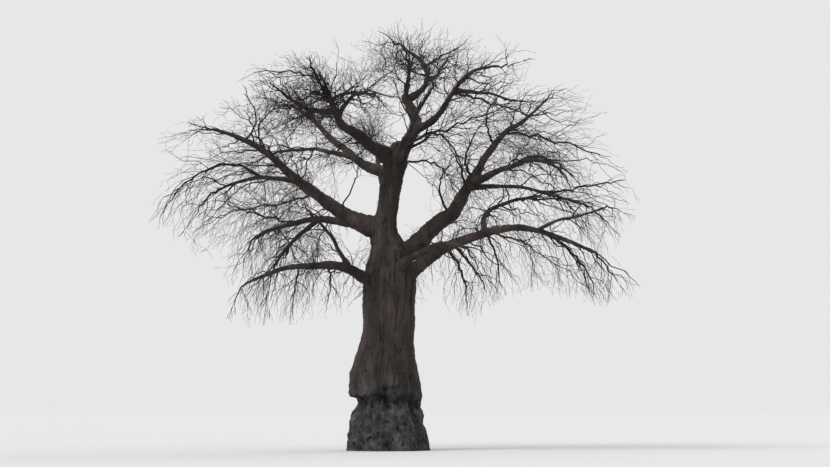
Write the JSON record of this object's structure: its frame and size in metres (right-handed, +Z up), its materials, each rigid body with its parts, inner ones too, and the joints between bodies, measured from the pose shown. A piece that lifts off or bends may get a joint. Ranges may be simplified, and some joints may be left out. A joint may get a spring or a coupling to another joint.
{
  "type": "baobab tree",
  "caption": "Bare dry-season baobab with a stout folded trunk, a worn band near its foot, spreading tapering boughs and masses of fine bare twigs",
  "frame": {"origin": "middle of the flat cut under the trunk, at ground level", "axes": "+Z up the trunk, +X to the right and -Y towards the viewer as the picture shows the tree"},
  "size_m": [20.721, 17.5013, 18.8101],
  "materials": {
    "trunk_bark": "dull grey-brown bark with broad folds, pitted and scraped near the foot",
    "bough_bark": "dull grey-brown bark, smooth between fine wrinkles",
    "twig_bark": "dull dark brown bark on fine twigs"
  },
  "bodies": {
    "root": {"trunk": "trunk_bark", "left_long_bough": "bough_bark", "left_back_bough": "bough_bark", "left_drooping_bough": "bough_bark", "right_great_bough": "bough_bark", "right_low_bough": "bough_bark", "left_upper_back_bough": "bough_bark", "left_front_bough": "bough_bark", "crown_bough": "bough_bark", "back_bough": "bough_bark", "back_right_bough": "bough_bark", "back_low_bough": "bough_bark", "front_right_bough": "bough_bark", "front_crown_bough": "bough_bark", "left_long_side_bough": "bough_bark", "left_knotted_bough": "bough_bark", "left_cross_bough": "bough_bark", "left_upper_side_bough": "bough_bark", "front_knot_left_bough": "bough_bark", "front_knot_up_bough": "bough_bark", "front_knot_right_bough": "bough_bark", "crown_right_bough": "bough_bark", "crown_left_bough": "bough_bark", "crown_top_bough": "bough_bark", "crown_back_bough": "bough_bark", "crown_right_side_bough": "bough_bark", "right_upper_front_bough": "bough_bark", "right_middle_bough": "bough_bark", "right_upper_back_bough": "bough_bark", "right_low_riser_bough": "bough_bark", "right_low_side_bough": "bough_bark", "left_long_twigs": "twig_bark", "left_back_twigs": "twig_bark", "left_drooping_twigs": "twig_bark", "right_low_twigs": "twig_bark", "left_upper_back_twigs": "twig_bark", "left_front_twigs": "twig_bark", "back_twigs": "twig_bark", "back_right_twigs": "twig_bark", "back_low_twigs": "twig_bark", "front_right_twigs": "twig_bark", "front_crown_twigs": "twig_bark", "left_long_side_twigs": "twig_bark", "left_knotted_twigs": "twig_bark", "left_cross_twigs": "twig_bark", "left_upper_side_twigs": "twig_bark", "front_knot_left_twigs": "twig_bark", "front_knot_up_twigs": "twig_bark", "front_knot_right_twigs": "twig_bark", "crown_right_twigs": "twig_bark", "crown_left_twigs": "twig_bark", "crown_top_twigs": "twig_bark", "crown_back_twigs": "twig_bark", "crown_right_side_twigs": "twig_bark", "right_upper_front_twigs": "twig_bark", "right_middle_twigs": "twig_bark", "right_upper_back_twigs": "twig_bark", "right_low_riser_twigs": "twig_bark", "right_low_side_twigs": "twig_bark"}
  },
  "joints": []
}
